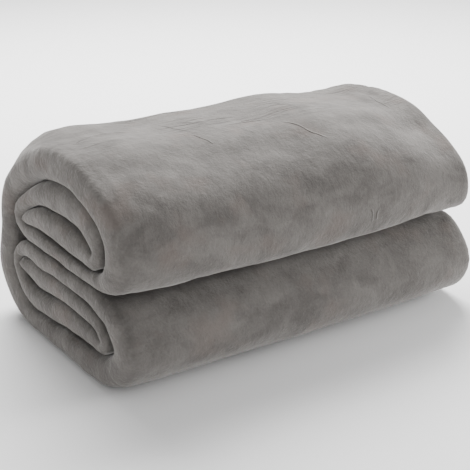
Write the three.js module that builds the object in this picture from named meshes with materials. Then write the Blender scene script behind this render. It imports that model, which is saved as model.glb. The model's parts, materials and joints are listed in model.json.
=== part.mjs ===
// Plush throw, folded: the cloth is folded in four across its width, then rolled inwards from
// both ends into two flat halves that lie one on the other and share one spine at the back.
// Millimetres. X runs along the spine, Y from the front to the spine at the back, Z is up,
// and the origin is on the surface under the middle of the bounding box.
import * as THREE from 'three';

// Driving dimensions
const CLOTH_WIDTH = 1270;
const FOLDED_LENGTH = CLOTH_WIDTH / 4;
const INTERFACE_HEIGHT = 74;
const CLEARANCE = 0.8;
const LEAF_GAP = 0.8;
const STATION_STEP = 6.5;
const END_ROUND = 9;
const END_FLAT_SHARE = 0.4;
const END_STEPS = 4;
const HEM_WIDTH = 18;
const HEM_SPLIT = 0.54;
const HEM_PART = 0.14;
const LABEL_WIDTH = 26;
const LABEL_DROP = 42;
const LABEL_THICKNESS = 1;
const LABEL_GAP = 0.4;
const LABEL_Y = 30;
const LABEL_TOP = 57;

const PILE = { color: 0x8b8680, roughness: 0.95, metalness: 0 };
const PILE_SHADED = { color: 0x79746f, roughness: 0.95, metalness: 0 };
const HEM = { color: 0x6b6763, roughness: 0.9, metalness: 0 };
const RIBBON = { color: 0xe9e6df, roughness: 0.6, metalness: 0 };

// A section point: y, z and the thickness of the four plies there
const at = (y, z, thickness) => new THREE.Vector3(y, z, thickness);

// Each half is the middle line of its band of four plies, leaf by leaf, in the order that the
// cloth runs. Neighbouring leaves meet at the crown of the turn between them.
const LOWER_LEAVES = {
  core: [at(54, 50.5, 16), at(36, 48, 17.5), at(17, 49.2, 16), at(-8, 51, 15), at(-33, 50, 13.5),
    at(-53, 48.5, 12), at(-64, 44.5, 11.5)],
  inner: [at(-69.5, 37.5, 12), at(-64.5, 31, 9.5), at(-53, 32.5, 13), at(-41, 33, 16), at(-8, 32, 19),
    at(28, 28.7, 18.5), at(43, 27.7, 18), at(56, 30.3, 17.5), at(66.5, 37, 15)],
  mating: [at(74.5, 49, 11), at(72.5, 57, 10), at(65, 63.5, 11), at(52, 66, 12), at(31, 65, 15),
    at(5, 66.3, 12.5), at(-21, 66, 13), at(-45, 65, 15), at(-62, 62, 18), at(-78, 58, 23)],
  outer: [at(-94, 39, 28.5), at(-87, 22.5, 26.5), at(-70, 13.4, 23.5), at(-53, 10.9, 22),
    at(-30, 10, 20.5), at(-5, 9.5, 19.5), at(21, 8.5, 17.5), at(44, 7.8, 16), at(64, 9.6, 19.5),
    at(81, 18, 26), at(93.5, 33, 27), at(96, 47, 26.5), at(94, 60, 24.5)],
};
const UPPER_LEAVES = {
  outer: [at(94, 88, 24.5), at(91.5, 99, 27), at(82, 117, 31), at(61, 133.5, 31), at(41.5, 140.8, 26),
    at(22, 145.8, 21), at(2, 148.6, 18), at(-17, 150, 16.5), at(-33.5, 149, 15.5),
    at(-49.5, 144, 15.5), at(-64.5, 138.5, 16), at(-75.5, 131.5, 17.5), at(-84, 122, 21.5)],
  mating: [at(-87, 106, 29), at(-83, 93.5, 27), at(-71, 83.7, 17), at(-54, 80.8, 11),
    at(-17, 80.4, 10.5), at(8, 81.3, 11.5), at(38, 82, 13.5), at(53, 82.4, 13)],
  inner: [at(65.5, 89.7, 13), at(65, 97.5, 14), at(53, 108, 13), at(39.5, 116, 15),
    at(26, 121.3, 18.5), at(13, 124, 22.5), at(-2, 125.7, 25.5), at(-28, 125.8, 28),
    at(-45, 121.5, 27), at(-56, 115.5, 22)],
  core: [at(-63, 105.5, 13.5), at(-58.5, 96, 12), at(-46, 96.3, 17), at(-30, 98.3, 22.5),
    at(-13, 99.3, 23.5), at(6, 100.2, 22.5), at(24, 100.1, 20.5), at(40, 97.6, 14.5)],
};
const TIP_LOWER = at(66, 52, 8);
const TIP_UPPER = at(53, 94, 5);
const SPINE_MIDDLE = at(92, INTERFACE_HEIGHT, 22);
const LOWER_ORDER = ['core', 'inner', 'mating', 'outer'];
const UPPER_ORDER = ['outer', 'mating', 'inner', 'core'];
const CLOTH_RUN = [
  TIP_LOWER,
  ...LOWER_ORDER.flatMap((word) => LOWER_LEAVES[word]),
  SPINE_MIDDLE,
  ...UPPER_ORDER.flatMap((word) => UPPER_LEAVES[word]),
  TIP_UPPER,
];

// Evenly spaced stations with their unit normals, between two distances along a curve. The two
// end stations are drawn in by trim along the curve, which leaves parallel faces at a fold line.
function stationsBetween(curve, from, to, trimStart = 0, trimEnd = 0) {
  const total = curve.getLength();
  const count = Math.max(2, Math.round((to - from) / STATION_STEP));
  const stations = [];
  for (let i = 0; i <= count; i += 1) {
    const u = (from + ((to - from) * i) / count) / total;
    const point = curve.getPointAt(u);
    const tangent = curve.getTangentAt(u);
    const size = Math.hypot(tangent.x, tangent.y);
    const shift = (i === 0 ? trimStart : 0) - (i === count ? trimEnd : 0);
    stations.push({
      y: point.x + (tangent.x / size) * shift,
      z: point.y + (tangent.y / size) * shift,
      half: point.z / 2,
      outY: tangent.y / size,
      outZ: -tangent.x / size,
    });
  }
  return stations;
}

// Distances along the curve at which each of its control points lies
function distancesAtPoints(curve) {
  const perSpan = 60;
  const lengths = curve.getLengths((curve.points.length - 1) * perSpan);
  return curve.points.map((_, index) => lengths[index * perSpan]);
}

// Lengthwise profile: how much of the half thickness is left near each rounded end. The rebate
// leaves only the outer half of the band at the +X end, next to the two hemmed edges.
function lengthwiseProfile(hemRebate) {
  const half = FOLDED_LENGTH / 2;
  const rebateStart = half - HEM_WIDTH - LEAF_GAP;
  const profile = [];
  for (let i = 0; i <= END_STEPS; i += 1) {
    const angle = (Math.PI / 2) * (i / END_STEPS);
    const share = END_FLAT_SHARE + (1 - END_FLAT_SHARE) * Math.sin(angle);
    profile.push({ x: -half + END_ROUND * (1 - Math.cos(angle)), outer: share, inner: share });
  }
  if (hemRebate) {
    profile.push({ x: rebateStart, outer: 1, inner: 1 });
    profile.push({ x: rebateStart, outer: 1, inner: 0 });
    profile.push({ x: half - END_ROUND, outer: 1, inner: 0 });
    profile.push({ x: half, outer: END_FLAT_SHARE + 0.3, inner: 0 });
  } else {
    profile.push({ x: half - END_ROUND, outer: 1, inner: 1 });
    profile.push({ x: half, outer: END_FLAT_SHARE, inner: END_FLAT_SHARE });
  }
  return profile;
}

// A hem strip at the +X end, between two shares of the inner half thickness
function sideHemProfile(near, far) {
  const half = FOLDED_LENGTH / 2;
  return [
    { x: half - HEM_WIDTH, outer: -near, inner: far },
    { x: half - END_ROUND / 2, outer: -near, inner: far },
    { x: half, outer: -near - 0.1, inner: far - 0.1 },
  ];
}

// A closed solid swept along the stations: one ring of outer and inner points per station
function sweptSolid(stations, profile) {
  const positions = [];
  const ring = profile.length * 2;
  stations.forEach((s) => {
    const place = (x, offset) => {
      positions.push(x, s.y + s.outY * offset, Math.max(0, s.z + s.outZ * offset));
    };
    profile.forEach((p) => place(p.x, s.half * p.outer));
    [...profile].reverse().forEach((p) => place(p.x, -s.half * p.inner));
  });
  const indices = [];
  for (let i = 0; i + 1 < stations.length; i += 1) {
    for (let j = 0; j < ring; j += 1) {
      const a = i * ring + j;
      const b = i * ring + ((j + 1) % ring);
      indices.push(a, a + ring, b, b, a + ring, b + ring);
    }
  }
  const last = (stations.length - 1) * ring;
  for (let j = 0; j + 1 < profile.length; j += 1) {
    const k = ring - 1 - j;
    indices.push(j, j + 1, k, j + 1, k - 1, k);
    indices.push(last + j, last + k, last + j + 1, last + j + 1, last + k, last + k - 1);
  }
  const geometry = new THREE.BufferGeometry();
  geometry.setAttribute('position', new THREE.Float32BufferAttribute(positions, 3));
  geometry.setIndex(indices);
  geometry.computeVertexNormals();
  return geometry;
}

function addMesh(group, name, geometry, look) {
  const mesh = new THREE.Mesh(geometry, new THREE.MeshStandardMaterial(look));
  mesh.name = name;
  group.add(mesh);
}

const cloth = new THREE.CatmullRomCurve3(CLOTH_RUN, false, 'centripetal');
cloth.arcLengthDivisions = 4000;
const pointDistances = distancesAtPoints(cloth);
const clothTotal = cloth.getLength();

// One half: its four leaves, the hem across the cloth's end and the two hems along its sides.
// first and last are the distances between which the half's leaves run.
function foldedHalf(side, leaves, order, firstIndex, first, last) {
  const group = new THREE.Group();
  const cuts = [];
  let index = firstIndex;
  order.forEach((word, position) => {
    if (position > 0) cuts.push(pointDistances[index]);
    index += leaves[word].length;
  });
  const limits = [first, ...cuts, last];
  order.forEach((word, position) => {
    const trimStart = position > 0 ? LEAF_GAP / 2 : 0;
    const trimEnd = position + 1 < order.length ? LEAF_GAP / 2 : 0;
    const look = word === 'outer' ? PILE : PILE_SHADED;
    const stations = stationsBetween(cloth, limits[position], limits[position + 1], trimStart, trimEnd);
    addMesh(group, `${side}_${word}_leaf`, sweptSolid(stations, lengthwiseProfile(true)), look);
  });
  const hemStations = stationsBetween(cloth, first, last);
  const middleHem = sideHemProfile(HEM_PART, HEM_SPLIT - HEM_PART / 2);
  const innerHem = sideHemProfile(HEM_SPLIT + HEM_PART / 2, 1);
  addMesh(group, `${side}_side_hem_middle`, sweptSolid(hemStations, middleHem), HEM);
  addMesh(group, `${side}_side_hem_inner`, sweptSolid(hemStations, innerHem), HEM);
  return group;
}

// The hem across one end of the cloth, at the heart of its roll
function endHem(group, name, from, to) {
  addMesh(group, name, sweptSolid(stationsBetween(cloth, from, to), lengthwiseProfile(false)), HEM);
}

// The blank ribbon label hangs from the lower core over the +X end
function careLabel(group) {
  const shape = new THREE.BoxGeometry(LABEL_THICKNESS, LABEL_WIDTH, LABEL_DROP);
  const x = FOLDED_LENGTH / 2 + LABEL_GAP + LABEL_THICKNESS / 2;
  shape.translate(x, LABEL_Y, LABEL_TOP - LABEL_DROP / 2);
  addMesh(group, 'care_label', shape, RIBBON);
}

const spineIndex = CLOTH_RUN.indexOf(SPINE_MIDDLE);
const spine = pointDistances[spineIndex];
const throwBlanket = new THREE.Group();
const lower = foldedHalf('lower', LOWER_LEAVES, LOWER_ORDER, 1, HEM_WIDTH, spine - CLEARANCE);
const upperEnd = clothTotal - HEM_WIDTH;
const upper = foldedHalf('upper', UPPER_LEAVES, UPPER_ORDER, spineIndex + 1, spine + CLEARANCE, upperEnd);
endHem(lower, 'lower_end_hem', 0, HEM_WIDTH - LEAF_GAP);
endHem(upper, 'upper_end_hem', upperEnd + LEAF_GAP, clothTotal);
careLabel(lower);
throwBlanket.add(lower, upper);
throwBlanket.position.x = -(LABEL_GAP + LABEL_THICKNESS) / 2;

export default throwBlanket;
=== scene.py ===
"""Folded plush throw: one sheet of cloth folded in four, then rolled in from both ends."""
import json
import math

import bpy
import numpy as np
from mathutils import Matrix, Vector


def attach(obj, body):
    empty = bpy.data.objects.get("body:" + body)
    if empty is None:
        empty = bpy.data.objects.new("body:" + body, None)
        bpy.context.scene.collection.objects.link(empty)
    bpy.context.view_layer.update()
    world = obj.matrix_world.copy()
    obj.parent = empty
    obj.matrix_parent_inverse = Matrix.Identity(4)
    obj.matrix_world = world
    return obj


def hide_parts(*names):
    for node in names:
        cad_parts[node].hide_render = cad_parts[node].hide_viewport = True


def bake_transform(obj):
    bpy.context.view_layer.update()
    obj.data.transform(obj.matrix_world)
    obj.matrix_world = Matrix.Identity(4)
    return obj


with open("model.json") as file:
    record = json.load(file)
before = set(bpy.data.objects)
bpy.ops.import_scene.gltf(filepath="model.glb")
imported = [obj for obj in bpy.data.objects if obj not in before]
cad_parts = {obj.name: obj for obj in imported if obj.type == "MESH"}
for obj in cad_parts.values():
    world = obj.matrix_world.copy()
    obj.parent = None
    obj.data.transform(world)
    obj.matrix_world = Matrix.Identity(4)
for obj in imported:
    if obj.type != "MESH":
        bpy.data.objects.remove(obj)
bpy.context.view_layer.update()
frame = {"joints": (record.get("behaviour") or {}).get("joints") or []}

MM = 0.001
RNG_SEED = 7

# ---------------------------------------------------------------- driving sizes, millimetres
CLOTH_WIDTH = 1270.0
LENGTH = CLOTH_WIDTH / 4
INTERFACE = frame["joints"][0]["pos_m"][2] / MM
HALF_ZONE = 0.8
PLY_GAP = 0.5
PILE_GROWTH = 1.0

# Middle line of the band of four plies: y, z, thickness, in the order that the cloth runs.
# Each leaf starts at the crown of a turn.
LOWER = {
    "core": [(66.5, 51.5, 10.5), (58, 51, 15), (50, 50, 17), (36, 48, 17.5), (17, 49.2, 16),
             (-8, 51, 15), (-33, 50, 13.5), (-53, 48.5, 12), (-64, 44.5, 11.5)],
    "inner": [(-69.5, 37.5, 12), (-64.5, 31, 9.5), (-53, 32.5, 13), (-41, 33, 16), (-8, 32, 19),
              (28, 28.7, 18.5), (43, 27.7, 18), (56, 30.3, 17.5), (66.5, 37, 15)],
    "mating": [(74.5, 49, 11), (72.5, 57, 10), (65, 63.5, 11), (52, 66, 12), (31, 65, 15),
               (5, 66.3, 12.5), (-21, 66, 13), (-45, 65, 15), (-62, 62, 18), (-78, 58, 23)],
    "outer": [(-94, 39, 28.5), (-87, 22.5, 26.5), (-70, 13.4, 23.5), (-53, 10.9, 22), (-30, 10, 20.5),
              (-5, 9.5, 19.5), (21, 8.5, 17.5), (44, 7.8, 16), (64, 9.6, 19.5), (81, 18, 26),
              (93.5, 33, 27), (96, 47, 26.5), (94, 60, 24.5)],
}
SPINE = [(92, INTERFACE, 22)]
UPPER = {
    "outer": [(94, 88, 24.5), (91.5, 99, 27), (82, 117, 31), (61, 133.5, 31), (41.5, 140.8, 26),
              (22, 145.8, 21), (2, 148.6, 18), (-17, 150, 16.5), (-33.5, 149, 15.5), (-49.5, 144, 15.5),
              (-64.5, 138.5, 16), (-75.5, 131.5, 17.5), (-84, 122, 21.5)],
    "mating": [(-87, 106, 29), (-83, 93.5, 27), (-71, 83.7, 17), (-54, 80.8, 11), (-17, 80.4, 10.5),
               (8, 81.3, 11.5), (38, 82, 13.5), (53, 82.4, 13)],
    "inner": [(65.5, 89.7, 13), (65, 97.5, 14), (53, 108, 13), (39.5, 116, 15), (26, 121.3, 18.5),
              (13, 124, 22.5), (-2, 125.7, 25.5), (-28, 125.8, 28), (-45, 121.5, 27), (-56, 115.5, 22)],
    "core": [(-63, 105.5, 13.5), (-58.5, 96, 12), (-46, 96.3, 17), (-30, 98.3, 22.5), (-13, 99.3, 23.5),
             (6, 100.2, 22.5), (24, 100.1, 20.5), (37, 98.2, 16.5), (46, 95.8, 13), (54.5, 93.2, 9)],
}
LOWER_RUN = [point for leaf in LOWER.values() for point in leaf]
UPPER_RUN = [point for leaf in UPPER.values() for point in leaf]


# ---------------------------------------------------------------- small maths
def smooth(x, low, high):
    """0 below low, 1 above high, and an S curve between them."""
    t = np.clip((x - low) / (high - low), 0, 1)
    return t * t * (3 - 2 * t)


class Noise:
    """Seeded gradient noise on two or three coordinates, about -1 to 1."""

    def __init__(self, seed):
        rng = np.random.default_rng(seed)
        self.table = rng.permutation(256)
        directions = rng.normal(size=(256, 3))
        self.directions = directions / np.linalg.norm(directions, axis=1, keepdims=True)

    def _corner(self, cell, part, shift):
        cx, cy, cz = (c + s for c, s in zip(cell, shift))
        t = self.table
        gradient = self.directions[t[(t[(t[cx & 255] + cy) & 255] + cz) & 255]]
        return sum(gradient[..., k] * (part[k] - shift[k]) for k in range(3))

    def __call__(self, x, y, z=0.0):
        x, y, z = np.broadcast_arrays(*(np.asarray(c, float) for c in (x, y, z)))
        cell = [np.floor(c).astype(int) for c in (x, y, z)]
        part = [c - i for c, i in zip((x, y, z), cell)]
        fade = [p * p * p * (p * (p * 6 - 15) + 10) for p in part]
        total = np.zeros(x.shape)
        for i in (0, 1):
            for j in (0, 1):
                for k in (0, 1):
                    weight = np.ones(x.shape)
                    for axis, bit in enumerate((i, j, k)):
                        weight = weight * (fade[axis] if bit else 1 - fade[axis])
                    total += weight * self._corner(cell, part, (i, j, k))
        return total * 1.6


def centripetal(points, per_span=40):
    """A smooth curve through the points, as dense samples, and the samples' own indices."""
    p = np.array(points, float)
    p = np.vstack([2 * p[0] - p[1], p, 2 * p[-1] - p[-2]])
    samples = []
    for i in range(1, len(p) - 2):
        p0, p1, p2, p3 = p[i - 1:i + 3]
        d0, d1, d2 = (max(((b - a) @ (b - a)) ** 0.25, 1e-4) for a, b in ((p0, p1), (p1, p2), (p2, p3)))
        t1 = ((p1 - p0) / d0 - (p2 - p0) / (d0 + d1) + (p2 - p1) / d1) * d1
        t2 = ((p2 - p1) / d1 - (p3 - p1) / (d1 + d2) + (p3 - p2) / d2) * d1
        t = (np.arange(per_span) / per_span)[:, None]
        samples.append(p1 + t1 * t + (-3 * p1 + 3 * p2 - 2 * t1 - t2) * t**2
                       + (2 * p1 - 2 * p2 + t1 + t2) * t**3)
    samples.append(p[-2][None])
    return np.vstack(samples)


# ---------------------------------------------------------------- the cloth's run through the section
class Section:
    """The band's middle line by distance along the cloth: place, outward normal, half thickness."""

    def __init__(self):
        per_span = 40
        curve = centripetal(LOWER_RUN + SPINE + UPPER_RUN, per_span)
        steps = np.linalg.norm(np.diff(curve[:, :2], axis=0), axis=1)
        self.at = np.concatenate([[0], np.cumsum(steps)])
        self.curve = curve
        self.total = self.at[-1]
        points = self.at[::per_span]
        self.spine = float(points[len(LOWER_RUN)])
        self.outer_from = float(points[len(LOWER_RUN) - len(LOWER["outer"])])
        self.outer_to = float(points[len(LOWER_RUN) + 1 + len(UPPER["outer"])])
        tangent = np.gradient(curve[:, :2], self.at, axis=0)
        window = np.hanning(31)
        window /= window.sum()
        padded = np.pad(tangent, ((15, 15), (0, 0)), mode="edge")
        tangent = np.stack([np.convolve(padded[:, k], window, "valid") for k in (0, 1)], axis=1)
        self.tangent = tangent / np.linalg.norm(tangent, axis=1, keepdims=True)

    def take(self, values, s):
        return np.interp(s, self.at, values)

    def frame_at(self, s):
        y, z, thick = (self.take(self.curve[:, k], s) for k in range(3))
        ty, tz = (self.take(self.tangent[:, k], s) for k in range(2))
        size = np.hypot(ty, tz)
        half = (thick + PILE_GROWTH) / 2
        tip = np.minimum(s, self.total - s)
        reach = 5.0
        rounding = np.sqrt(np.clip(1 - (1 - np.clip(tip / reach, 0, 1)) ** 2, 0.0, 1))
        half = half * np.maximum(rounding, 0.12)
        return y, z, tz / size, -ty / size, half


section = Section()
print("cloth run", round(section.total, 1), "mm, spine at", round(section.spine, 1))

# Spacing of the rows, in millimetres along the cloth
TIP_ROWS = [0.0, 0.6, 1.8, 3.6, 6.0]
TIP_CLEARANCE = 7
STEP_OUTSIDE = 4.6
STEP_INSIDE = 6.2
HINGE_ROWS = 27
HINGE_REACH = 1.1
HINGE_CLEARANCE = 3.2


def row_distances():
    """Rows across the cloth: finer on the outer wrap and at the two tips, dense at the hinge."""
    rows = list(TIP_ROWS)
    outer_from, outer_to = section.outer_from - 40, section.outer_to + 40
    while rows[-1] < section.total - TIP_CLEARANCE:
        here = rows[-1]
        rows.append(here + (STEP_OUTSIDE if outer_from < here < outer_to else STEP_INSIDE))
    rows = [r for r in rows if r < section.total - TIP_CLEARANCE]
    rows += [section.total - d for d in reversed(TIP_ROWS)]
    fan = section.spine + np.linspace(-HINGE_REACH, HINGE_REACH, HINGE_ROWS)
    rows = [r for r in rows if abs(r - section.spine) > HINGE_CLEARANCE] + list(fan)
    return np.array(sorted(rows))


# ---------------------------------------------------------------- the cloth across its width
LEFT_TURN = {"depth": 0.86, "power": 2.2}
INNER_TURN = {"depth": 0.8, "power": 2.0}
RIGHT_TURN = {"depth": 1.0, "power": 2.1}
HEM_RECESS = 3.0
HEM_EDGE = 3.2
INNER_TURN_SETBACK = 2.0
COLUMNS = {"panel_1": 13, "left_inner": 6, "panel_2": 13, "right": 9, "panel_3": 84, "left_outer": 15,
           "panel_4": 16}


def width_profile(half, side, left, right):
    """Points across the folded width for every row: x and the distance from the band's middle.

    half, left and right hold a value per row. side is 1 for the cloth's face and -1 for its back.
    The cloth runs from the hemmed edge at the right end through panel 1, round the inner left turn
    to panel 2, round the right turn to panel 3 on the outside of the roll, and round the outer
    left turn to panel 4, which ends in the other hemmed edge at the right end.
    """
    h = half[:, None]
    ply = h / 2 - PLY_GAP * np.minimum(1, h / 8)
    offset = side * ply / 2
    left_outer = left[:, None] + LEFT_TURN["depth"] * h
    left_inner = left_outer + INNER_TURN_SETBACK
    right_turn = right[:, None] - RIGHT_TURN["depth"] * h / 2
    hem = right[:, None] - HEM_RECESS
    rounding = np.array([0.25, 0.7, 0.93])
    inset = np.array([0.0, 0.5, 1.6])

    def span(name, start, end, level, power=0.9):
        t = np.linspace(0, 1, COLUMNS[name], endpoint=False)[None]
        ease = t - power * np.sin(2 * np.pi * t) / (2 * np.pi)
        return start + (end - start) * ease, np.broadcast_to(level, (len(half), t.size))

    def turn(name, centre, radius, middle, start, sweep, depth, power):
        angle = start + sweep * np.linspace(0, 1, COLUMNS[name], endpoint=False)[None]
        c, s = np.cos(angle), np.sin(angle)
        x = centre + depth * radius * np.sign(c) * np.abs(c) ** (2 / power)
        n = middle + radius * np.sign(s) * np.abs(s) ** (2 / power)
        return x, n

    def hem_edge(level, reverse):
        order = slice(None, None, -1) if reverse else slice(None)
        x = hem - inset[order][None]
        n = level[0] + level[1] * offset * rounding[order][None]
        return x, n

    parts = [
        hem_edge((-h / 4, 1), False),
        span("panel_1", hem - HEM_EDGE, left_inner, -h / 4 + offset),
        turn("left_inner", left_inner, h / 4 - offset, 0 * h, -np.pi / 2, -np.pi, **INNER_TURN),
        span("panel_2", left_inner, right_turn, h / 4 - offset),
        turn("right", right_turn, h / 4 + offset, h / 2, -np.pi / 2, np.pi, **RIGHT_TURN),
        span("panel_3", right_turn, left_outer, 3 * h / 4 + offset, 0.5),
        turn("left_outer", left_outer, 3 * h / 4 + offset, 0 * h, np.pi / 2, np.pi, **LEFT_TURN),
        span("panel_4", left_outer, hem - HEM_EDGE, -3 * h / 4 - offset),
        hem_edge((-3 * h / 4, -1), True),
    ]
    xs = np.concatenate([np.broadcast_to(p[0], p[1].shape) for p in parts], axis=1)
    ns = np.concatenate([p[1] for p in parts], axis=1)
    return xs, ns


# ---------------------------------------------------------------- how the folded cloth lies
waves = Noise(RNG_SEED)
ripples = Noise(RNG_SEED + 1)
folds = Noise(RNG_SEED + 2)

# Rises and dips along the crown: where along x, how wide and how high, in millimetres
CROWN_BUMPS = [(-120, 44, 6.3), (-45, 40, 1.8), (48, 36, 3.6), (118, 36, -3.2)]
# How far in from each end the roll is drawn together, and how far single places move, in millimetres
END = LENGTH / 2 + 2
LEFT_REACH = 36
RIGHT_REACH = 62
FRONT_LIFT = 2.0
CORNER_BACK, CORNER_DOWN = 4.0, 4.5
OVERHANG = 4.0


def outer_share(s):
    """1 on the outer wrap of the roll and 0 on the plies rolled up inside."""
    return smooth(s, section.outer_from - 55, section.outer_from - 15) * (
        1 - smooth(s, section.outer_to + 15, section.outer_to + 55))


class Settled:
    """How far a cloth simulation moves the outer wrap's face as it buckles and sags over the roll.

    The face starts a little larger than the plain fold, pinned at the roll's ends, along the table
    and along the back fold, and the plies below it hold it up.
    """

    STEP = 4.4
    FULLNESS = 0.02
    HOLD = 0.15
    FRAMES = 18

    def __init__(self):
        self.s = np.arange(section.outer_from - 36, section.outer_to + 36, self.STEP)
        self.x = np.linspace(-LENGTH / 2 + 9, LENGTH / 2 - 7, 70)
        self.moved = np.zeros((self.s.size, self.x.size, 3))
        self.simulate()

    def surface(self, depth):
        """The outer wrap's plain face as a grid, taken depth millimetres below the surface."""
        y, z, ny, nz, half = section.frame_at(self.s)
        grid = np.empty((self.s.size, self.x.size, 3))
        grid[..., 0] = self.x
        grid[..., 1] = (y + ny * (half - depth))[:, None]
        grid[..., 2] = (z + nz * (half - depth))[:, None]
        return grid

    def sheet(self, name, grid):
        index = np.arange(grid.shape[0] * grid.shape[1]).reshape(grid.shape[:2])
        quads = np.stack([index[:-1, :-1], index[1:, :-1], index[1:, 1:], index[:-1, 1:]], axis=-1)
        mesh = bpy.data.meshes.new(name)
        mesh.from_pydata((grid.reshape(-1, 3) * MM).tolist(), [], quads.reshape(-1, 4).tolist())
        obj = bpy.data.objects.new(name, mesh)
        bpy.context.collection.objects.link(obj)
        return obj

    def simulate(self):
        rest = self.surface(0.0)
        skin = self.sheet("wrap_skin", rest + self.start_ripple(rest))
        roll = self.sheet("wrap_roll", self.surface(3.2))
        roll.modifiers.new("collision", "COLLISION")
        roll.collision.thickness_outer = 0.0008
        roll.collision.cloth_friction = 8
        pinned = np.zeros(rest.shape[:2], bool)
        pinned[:2] = pinned[-2:] = True
        pinned[:, :2] = pinned[:, -2:] = True
        pinned |= (np.abs(self.s - section.spine) < 9)[:, None]
        pinned |= rest[..., 2] < 2.5
        group = skin.vertex_groups.new(name="pinned")
        group.add(np.flatnonzero(~pinned).tolist(), self.HOLD, "REPLACE")
        group.add(np.flatnonzero(pinned).tolist(), 1.0, "REPLACE")
        cloth_modifier = skin.modifiers.new("cloth", "CLOTH")
        settings = cloth_modifier.settings
        settings.quality = 6
        settings.mass = 0.25
        settings.tension_stiffness = settings.compression_stiffness = 18
        settings.shear_stiffness = 6
        settings.bending_stiffness = 0.5
        settings.air_damping = 2
        settings.shrink_min = -self.FULLNESS
        settings.vertex_group_mass = "pinned"
        cloth_modifier.collision_settings.distance_min = 0.0008
        cloth_modifier.collision_settings.use_self_collision = False
        scene = bpy.context.scene
        scene.frame_start, scene.frame_end = 1, self.FRAMES
        cloth_modifier.point_cache.frame_end = self.FRAMES
        for number in range(1, self.FRAMES + 1):
            scene.frame_set(number)
        settled = skin.evaluated_get(bpy.context.evaluated_depsgraph_get())
        places = np.empty(rest.size)
        settled.data.vertices.foreach_get("co", places)
        moved = places.reshape(rest.shape) / MM - rest
        scene.frame_set(1)
        for obj in (skin, roll):
            bpy.data.objects.remove(obj, do_unlink=True)
        for axis in (0, 1):
            moved = (np.roll(moved, 1, axis) + 2 * moved + np.roll(moved, -1, axis)) / 4
        moved[:2] = moved[-2:] = 0
        moved[:, :2] = moved[:, -2:] = 0
        self.moved = moved

    def start_ripple(self, rest):
        """A seeded ripple under half a millimetre high, so that the face can choose where to buckle."""
        ripple = np.zeros(rest.shape)
        height = 0.45 * ripples(rest[..., 0] / 26, rest[..., 1] / 19, rest[..., 2] / 19)
        ripple[..., 1] = height * np.sign(rest[..., 1])
        ripple[..., 2] = height * 0.5
        return ripple

    def at(self, s, x):
        """The move at each point, in millimetres, zero beyond the simulated face."""
        u = np.clip((s - self.s[0]) / self.STEP, 0, self.s.size - 1.001)
        v = np.clip((x - self.x[0]) / (self.x[1] - self.x[0]), 0, self.x.size - 1.001)
        i, j = u.astype(int), v.astype(int)
        fu, fv = (u - i)[..., None], (v - j)[..., None]
        m = self.moved
        return ((m[i, j] * (1 - fv) + m[i, j + 1] * fv) * (1 - fu)
                + (m[i + 1, j] * (1 - fv) + m[i + 1, j + 1] * fv) * fu)


settled = Settled()
print("settled moves, mm", np.abs(settled.moved).max(axis=(0, 1)).round(2))


def lie(x, y, z, ny, nz, s, n, half):
    """Puffs, sags and wrinkles: moves points given at rest in the plain fold, in millimetres."""
    outer = outer_share(s) * smooth(n / half, 0.2, 0.9)
    drift = settled.at(s, x) * (outer * smooth(z, 4, 45))[..., None]
    free = smooth(z, 2, 16)
    swell = 1.9 * waves(x / 95, y / 70, z / 62) + 1.0 * waves(x / 42 + 9, y / 36, z / 36)
    top = smooth(z, 120, 142) * smooth(nz, 0.35, 0.8)
    fine = ripples(x / 52, y / 8.5 + 0.22 * folds(x / 46, y / 46), 3.3)
    long_wrinkles = 0.7 * np.clip(np.abs(fine) * 1.7 - 0.25, -0.2, 1) * smooth(y, -25, 10)
    crown = smooth(z, 105, 150)
    bumps = sum(height * np.exp(-(((x - middle) / width) ** 2)) for middle, width, height in CROWN_BUMPS)
    move = outer * free * (swell - top * long_wrinkles + crown * bumps)
    x = x + drift[..., 0]
    y = y + ny * move + drift[..., 1]
    z = z + nz * move + drift[..., 2]
    # the ends of the roll are pulled in, by shares of the distance from the middle of the depth and
    # from the plane between the two halves
    left = smooth(-x, END - LEFT_REACH, END)
    right = smooth(x, END - RIGHT_REACH, END)
    upper = z > INTERFACE
    back_top = smooth(y + z, 150, 215)
    y = y * (1 - (0.02 + 0.09 * back_top) * left - 0.03 * right)
    front = smooth(-y, -20, 90)
    pull_left = np.where(upper, 0.045 - (0.04 + 0.02 * (1 - back_top)) * outer, -0.005)
    pull_right = np.where(upper, 0.03 + 0.16 * front, -0.01)
    pull = pull_left * left + pull_right * right
    z = INTERFACE + (z - INTERFACE) * (1 - pull)
    z = z + left * (1 - smooth(z, 8, 40)) * (0.9 + 1.6 * waves(y / 17, 3.7, 1.1))
    # the roll's lower front edge turns up a little, and its upper back corner droops at the left end
    z = z + FRONT_LIFT * smooth(-y, 62, 98) * (1 - smooth(z, 25, 55))
    corner = left * outer * smooth(y, 12, 58) * smooth(z, 110, 132)
    y, z = y - CORNER_BACK * corner, z - CORNER_DOWN * corner
    # the front of the upper half's right end hangs forward, over the lower half
    overhang = right * smooth(-y, 55, 92) * upper * (1 - smooth(z, 80, 104))
    y = y - OVERHANG * overhang
    return x, y, z


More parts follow.
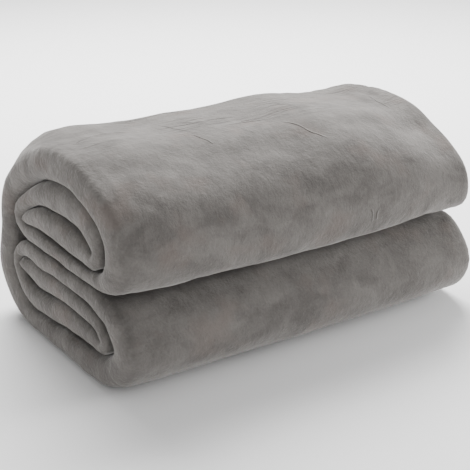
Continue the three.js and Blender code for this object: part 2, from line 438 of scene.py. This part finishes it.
def cloth_points(rows, side):
    """One face of the cloth as a grid of points: rows along the cloth by points across it."""
    y, z, ny, nz, half = section.frame_at(rows)
    inner = 1 - outer_share(rows)
    wander = Noise(RNG_SEED + 5)
    left = -LENGTH / 2 - 2.6 + 1.0 * inner + 1.2 * wander(rows / 90, 0.5) + 0.8 * wander(rows / 21, 3.1)
    right = LENGTH / 2 + 1.8 - 2.5 * inner + 1.6 * wander(rows / 75, 7.5)
    xs, ns = width_profile(half, side, left, right)
    s = np.broadcast_to(rows[:, None], xs.shape)
    ys = y[:, None] + ny[:, None] * ns
    zs = z[:, None] + nz[:, None] * ns
    nys = np.broadcast_to(ny[:, None], xs.shape)
    nzs = np.broadcast_to(nz[:, None], xs.shape)
    xs, ys, zs = lie(xs, ys, zs, nys, nzs, s, ns, half[:, None])
    # the spine's rows keep their order through the hinge; nothing else enters its zone
    lower = s < section.spine
    spine = np.abs(s - section.spine) < 20
    limit = np.where(spine, 0.0, HALF_ZONE)
    zs = np.where(lower, np.minimum(zs, INTERFACE - limit), np.maximum(zs, INTERFACE + limit))
    near = np.abs(s - section.spine) < 3
    zs = np.where(near, z[:, None], zs)
    zs = np.maximum(zs, 0.0)
    return np.stack([xs, ys, zs], axis=-1) * MM


def grid_mesh(name, face, back):
    """A closed mesh from the two faces of a sheet, joined round its edge."""
    r, c = face.shape[:2]
    verts = np.concatenate([face.reshape(-1, 3), back.reshape(-1, 3)])
    index = np.arange(r * c).reshape(r, c)
    other = index + r * c

    def quads(a, b, c_, d):
        return np.stack([a.ravel(), b.ravel(), c_.ravel(), d.ravel()], axis=1)

    faces = [
        quads(index[:-1, :-1], index[:-1, 1:], index[1:, 1:], index[1:, :-1]),
        quads(other[:-1, :-1], other[1:, :-1], other[1:, 1:], other[:-1, 1:]),
        quads(index[:-1, 0], index[1:, 0], other[1:, 0], other[:-1, 0]),
        quads(index[1:, -1], index[:-1, -1], other[:-1, -1], other[1:, -1]),
        quads(index[0, 1:], index[0, :-1], other[0, :-1], other[0, 1:]),
        quads(index[-1, :-1], index[-1, 1:], other[-1, 1:], other[-1, :-1]),
    ]
    faces = np.concatenate(faces)
    mesh = bpy.data.meshes.new(name)
    mesh.vertices.add(len(verts))
    mesh.vertices.foreach_set("co", verts.ravel())
    mesh.loops.add(faces.size)
    mesh.loops.foreach_set("vertex_index", faces.ravel())
    mesh.polygons.add(len(faces))
    mesh.polygons.foreach_set("loop_start", np.arange(0, faces.size, 4))
    mesh.polygons.foreach_set("use_smooth", np.ones(len(faces), bool))
    mesh.update(calc_edges=True)
    mesh.validate()
    obj = bpy.data.objects.new(name, mesh)
    bpy.context.collection.objects.link(obj)
    return obj


def signed_volume(obj):
    """Positive when the faces of a closed mesh look outwards."""
    mesh = obj.data
    mesh.calc_loop_triangles()
    tri = np.empty(len(mesh.loop_triangles) * 3, int)
    mesh.loop_triangles.foreach_get("vertices", tri)
    co = np.empty(len(mesh.vertices) * 3)
    mesh.vertices.foreach_get("co", co)
    p = co.reshape(-1, 3)[tri.reshape(-1, 3)]
    return float(np.einsum("ij,ij->i", p[:, 0], np.cross(p[:, 1], p[:, 2])).sum() / 6)


def make_cloth():
    rows = row_distances()
    obj = grid_mesh("throw_cloth", cloth_points(rows, 1), cloth_points(rows, -1))
    if signed_volume(obj) < 0:
        obj.data.flip_normals()
    return obj


# ---------------------------------------------------------------- the care label
LABEL_WIDTH = 26.0
LABEL_Y = 30.0
LABEL_THICKNESS = 0.5
# How far past the folded end the ribbon runs, and how high
LABEL_PATH = [(-4, 49.5), (2, 50), (6.2, 46.5), (6.6, 38), (5.4, 26), (6.8, 14.5)]


def make_label():
    """A blank woven ribbon, sewn in between two plies of the lower core and hanging over the end."""
    edge = LENGTH / 2
    path = centripetal([(edge + out, height, 0) for out, height in LABEL_PATH], 6)[:, :2]
    along = np.gradient(path, axis=0)
    along /= np.linalg.norm(along, axis=1, keepdims=True)
    across = np.linspace(-0.5, 0.5, 14) * LABEL_WIDTH
    run = np.linspace(0, 1, len(path))[:, None]
    cup = 0.9 * (across / LABEL_WIDTH * 2) ** 2 * run + 0.7 * np.sin(across / 5.5) * run
    faces = []
    for side in (0.5, -0.5):
        lift = cup + side * LABEL_THICKNESS
        faces.append(np.stack([path[:, :1] + along[:, 1:] * -lift, LABEL_Y + across[None] + 0 * lift,
                               path[:, 1:] + along[:, :1] * lift], axis=-1) * MM)
    obj = grid_mesh("care_label_ribbon", *faces)
    if signed_volume(obj) < 0:
        obj.data.flip_normals()
    return obj


# ---------------------------------------------------------------- materials
def new_material(name):
    material = bpy.data.materials.new(name)
    material.use_nodes = True
    nodes = material.node_tree.nodes
    return material, nodes, material.node_tree.links, nodes["Principled BSDF"]


PILE_DARK = (0.075, 0.069, 0.065)
PILE_LIGHT = (0.157, 0.147, 0.138)
PILE_WARM = (0.14, 0.112, 0.1)
CREASE_HALF_WIDTH = 1.1 * MM

# Where single creases cross the cloth, in millimetres: x and y on top, x and z in front
TOP_CREASES = [
    ((21, -28), (42, -62)), ((-61, 18), (-50, -16)), ((-139, 0), (-115, 13)), ((-117, 13), (-89, 9)),
    ((65, 26), (103, 27)), ((138, 11), (133, -27)), ((-6, -11), (14, -17)), ((40, 15), (51, -5)),
    ((-55, -20), (-46, -40)), ((-30, 8), (4, 2)),
]
FRONT_CREASES = [((54.5, 104), (57.5, 91)), ((60.5, 101), (61.5, 92))]


def plush(name, dark, light, warm):
    """Short pile that lies in patches between a dark and a light tone, with a warm cast in places."""
    material, nodes, links, shader = new_material(name)
    place = nodes.new("ShaderNodeTexCoord")

    def noise(scale, detail, roughness, distortion=0.0, stretch=None, turn=(0, 0, 0)):
        source = place.outputs["Object"]
        if stretch:
            mapping = nodes.new("ShaderNodeMapping")
            mapping.inputs["Scale"].default_value = stretch
            mapping.inputs["Rotation"].default_value = turn
            links.new(source, mapping.inputs["Vector"])
            source = mapping.outputs["Vector"]
        node = nodes.new("ShaderNodeTexNoise")
        node.inputs["Scale"].default_value = scale
        node.inputs["Detail"].default_value = detail
        node.inputs["Roughness"].default_value = roughness
        node.inputs["Distortion"].default_value = distortion
        links.new(source, node.inputs["Vector"])
        return node.outputs["Fac"]

    def ramp(source, low, high, top=1.0):
        node = nodes.new("ShaderNodeMapRange")
        node.inputs["From Min"].default_value = low
        node.inputs["From Max"].default_value = high
        node.inputs["To Max"].default_value = top
        links.new(source, node.inputs["Value"])
        return node.outputs["Result"]

    def mix(a, b, factor):
        node = nodes.new("ShaderNodeMix")
        node.data_type = "RGBA"
        for socket, value in (("Factor", factor), ("A", a), ("B", b)):
            target = next(s for s in node.inputs if s.name == socket and s.enabled)
            if hasattr(value, "links"):
                links.new(value, target)
            else:
                target.default_value = value
        return next(s for s in node.outputs if s.enabled)

    def math_node(operation, *values):
        node = nodes.new("ShaderNodeMath")
        node.operation = operation
        for socket, value in zip(node.inputs, values):
            if hasattr(value, "links"):
                links.new(value, socket)
            else:
                socket.default_value = value
        return node.outputs["Value"]

    def masked(value, mask):
        return math_node("MULTIPLY", value, mask)

    def crease(middle, turned, length, across, wander):
        """A thin line on the surface, 1 on the line and 0 away from it."""
        local = nodes.new("ShaderNodeMapping")
        local.vector_type = "TEXTURE"
        local.inputs["Location"].default_value = middle
        local.inputs["Rotation"].default_value = turned
        links.new(place.outputs["Object"], local.inputs["Vector"])
        split = nodes.new("ShaderNodeSeparateXYZ")
        links.new(local.outputs["Vector"], split.inputs["Vector"])
        off_line = math_node("ABSOLUTE", math_node("ADD", split.outputs[across], wander))
        along = math_node("ABSOLUTE", split.outputs["X"])
        half = length / 2 * MM
        return masked(ramp(off_line, CREASE_HALF_WIDTH, 0.0), ramp(along, half, half * 0.55))

    # the pile lies in soft patches, brushed one way or the other, with fine slanting streaks
    patches = ramp(noise(42, 3, 0.55, 0.6, (0.85, 1.25, 1.25)), 0.33, 0.67)
    streaks = ramp(noise(210, 3, 0.6, 0.4, (1.0, 0.42, 0.42), (0.5, 0.6, 0.7)), 0.3, 0.7)
    grain = ramp(noise(620, 2, 0.7), 0.25, 0.75)
    colour = mix((*dark, 1), (*light, 1), patches)
    colour = mix(colour, mix((*dark, 1), (*light, 1), streaks), 0.2)
    colour = mix(colour, mix((*dark, 1), (*light, 1), grain), 0.3)
    tint = ramp(noise(33, 2, 0.5), 0.55, 0.7, 0.38)
    colour = mix(colour, (*warm, 1), tint)
    links.new(colour, shader.inputs["Base Color"])
    shader.inputs["Roughness"].default_value = 0.95
    shader.inputs["Specular IOR Level"].default_value = 0.12
    shader.inputs["Sheen Weight"].default_value = 0.31
    shader.inputs["Sheen Roughness"].default_value = 0.42
    shader.inputs["Sheen Tint"].default_value = (0.95, 0.93, 0.9, 1)

    def bump(height, strength, distance, below=None):
        node = nodes.new("ShaderNodeBump")
        node.inputs["Strength"].default_value = strength
        node.inputs["Distance"].default_value = distance
        links.new(height, node.inputs["Height"])
        if below:
            links.new(below, node.inputs["Normal"])
        return node.outputs["Normal"]

    # lengthwise wrinkles and single creases on the crown, puckers in the end, and the pile's tufts
    parts = nodes.new("ShaderNodeSeparateXYZ")
    links.new(place.outputs["Object"], parts.inputs["Vector"])
    crown = masked(ramp(parts.outputs["Z"], 0.128, 0.15), ramp(noise(14, 1, 0.5), 0.45, 0.6))
    crown = masked(crown, ramp(parts.outputs["Y"], -0.035, 0.015))
    crown = masked(crown, ramp(parts.outputs["X"], -0.152, -0.135))
    lengthwise = noise(105, 1, 0.4, 0.25, (0.13, 1.0, 0.5))
    from_middle = math_node("ABSOLUTE", math_node("SUBTRACT", lengthwise, 0.5))
    wrinkles = masked(ramp(from_middle, 0.045, 0.0), crown)
    wander = math_node("MULTIPLY", math_node("SUBTRACT", noise(60, 1, 0.5), 0.5), 0.006)
    on_top = ramp(parts.outputs["Z"], 0.125, 0.135)
    in_front = ramp(parts.outputs["Y"], -0.07, -0.085)
    for start, end in TOP_CREASES:
        middle = ((start[0] + end[0]) / 2 * MM, (start[1] + end[1]) / 2 * MM, 0)
        turned = (0, 0, math.atan2(end[1] - start[1], end[0] - start[0]))
        line = crease(middle, turned, math.dist(start, end), "Y", wander)
        wrinkles = math_node("MAXIMUM", wrinkles, masked(line, on_top))
    for start, end in FRONT_CREASES:
        middle = ((start[0] + end[0]) / 2 * MM, 0, (start[1] + end[1]) / 2 * MM)
        turned = (0, -math.atan2(end[1] - start[1], end[0] - start[0]), 0)
        line = crease(middle, turned, math.dist(start, end), "Z", wander)
        wrinkles = math_node("MAXIMUM", wrinkles, masked(line, in_front))
    puckers = masked(noise(150, 2, 0.6, 0.5), ramp(parts.outputs["X"], -0.15, -0.158))
    creased = bump(puckers, 0.55, 0.002, bump(wrinkles, 0.65, 0.0015))
    uneven = bump(noise(85, 4, 0.6, 0.4, (1.5, 1.0, 1.0)), 0.4, 0.0022, creased)
    slant = bump(streaks, 0.09, 0.0006, uneven)
    links.new(bump(noise(520, 3, 0.7), 0.5, 0.0008, slant), shader.inputs["Normal"])
    return material


def ribbon(name):
    """Off-white satin ribbon with a fine weave."""
    material, nodes, links, shader = new_material(name)
    place = nodes.new("ShaderNodeTexCoord")
    weave = nodes.new("ShaderNodeTexWave")
    weave.bands_direction = "Z"
    weave.inputs["Scale"].default_value = 420
    weave.inputs["Distortion"].default_value = 0.6
    links.new(place.outputs["Object"], weave.inputs["Vector"])
    shade = nodes.new("ShaderNodeMapRange")
    shade.inputs["To Min"].default_value = 0.62
    shade.inputs["To Max"].default_value = 0.72
    links.new(weave.outputs["Fac"], shade.inputs["Value"])
    colour = nodes.new("ShaderNodeCombineColor")
    for channel in ("Red", "Green", "Blue"):
        links.new(shade.outputs["Result"], colour.inputs[channel])
    links.new(colour.outputs["Color"], shader.inputs["Base Color"])
    shader.inputs["Roughness"].default_value = 0.5
    bump = nodes.new("ShaderNodeBump")
    bump.inputs["Strength"].default_value = 0.25
    bump.inputs["Distance"].default_value = 0.0002
    links.new(weave.outputs["Fac"], bump.inputs["Height"])
    links.new(bump.outputs["Normal"], shader.inputs["Normal"])
    return material


# ---------------------------------------------------------------- camera, light and floor
# Angles in degrees, the eye's distance and the height it looks at in folded lengths, the lens in mm
VIEW_AZIMUTH = -34.073
VIEW_ELEVATION = 21.548
VIEW_DISTANCE = 3.1719
VIEW_HEIGHT = 0.24
VIEW_Y = -3.0
LENS = 96.948
SHIFT = (-0.00789, -0.0372)


def make_camera():
    data = bpy.data.cameras.new("camera")
    camera = bpy.data.objects.new("camera", data)
    bpy.context.collection.objects.link(camera)
    azimuth, elevation = math.radians(VIEW_AZIMUTH), math.radians(VIEW_ELEVATION)
    target = np.array([0.0, VIEW_Y * MM, VIEW_HEIGHT * LENGTH * MM])
    towards = np.array([-math.sin(azimuth) * math.cos(elevation), math.cos(azimuth) * math.cos(elevation),
                        -math.sin(elevation)])
    eye = target - towards * VIEW_DISTANCE * LENGTH * MM
    camera.location = eye
    camera.rotation_euler = (math.pi / 2 - elevation, 0, azimuth)
    data.lens = LENS
    data.shift_x, data.shift_y = SHIFT
    data.clip_start = 0.01
    bpy.context.scene.camera = camera


def area_light(name, place, aim, size, power):
    data = bpy.data.lights.new(name, "AREA")
    data.shape = "RECTANGLE"
    data.size, data.size_y = size
    data.energy = power
    light = bpy.data.objects.new(name, data)
    bpy.context.collection.objects.link(light)
    light.location = place
    direction = np.array(aim) - np.array(place)
    light.rotation_euler = Vector(direction).to_track_quat("-Z", "Y").to_euler()


def make_stage():
    bpy.ops.mesh.primitive_plane_add(size=12, location=(0, 0, 0))
    floor = bpy.context.object
    floor.name = "floor"
    material, nodes, links, shader = new_material("pale_floor")
    shader.inputs["Base Color"].default_value = (0.93, 0.93, 0.93, 1)
    shader.inputs["Roughness"].default_value = 0.9
    floor.data.materials.append(material)
    world = bpy.data.worlds.new("studio")
    bpy.context.scene.world = world
    world.use_nodes = True
    world.node_tree.nodes["Background"].inputs["Color"].default_value = (1, 1, 1, 1)
    world.node_tree.nodes["Background"].inputs["Strength"].default_value = 0.5
    area_light("top_softbox", (0.35, 0.72, 1.0), (0.03, 0, 0.1), (1.1, 0.8), 56)
    area_light("side_softbox", (1.25, -0.65, 0.4), (0.08, 0, 0.06), (0.7, 0.5), 24)
    area_light("low_fill", (-1.1, -0.36, 0.07), (-0.1, 0, 0.04), (1.1, 0.12), 4.6)


# ---------------------------------------------------------------- put together
make_camera()
make_stage()
cloth = make_cloth()
cloth.data.materials.append(plush("plush_pile", PILE_DARK, PILE_LIGHT, PILE_WARM))
LEAVES = ("core_leaf", "inner_leaf", "mating_leaf", "outer_leaf", "end_hem", "side_hem_middle",
          "side_hem_inner")
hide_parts(*(f"{half}_{leaf}" for half in ("lower", "upper") for leaf in LEAVES))
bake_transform(cloth)

label = make_label()
label.data.materials.append(ribbon("label_ribbon"))
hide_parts("care_label")
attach(label, "lower_half")

print("polygons", len(cloth.data.polygons))
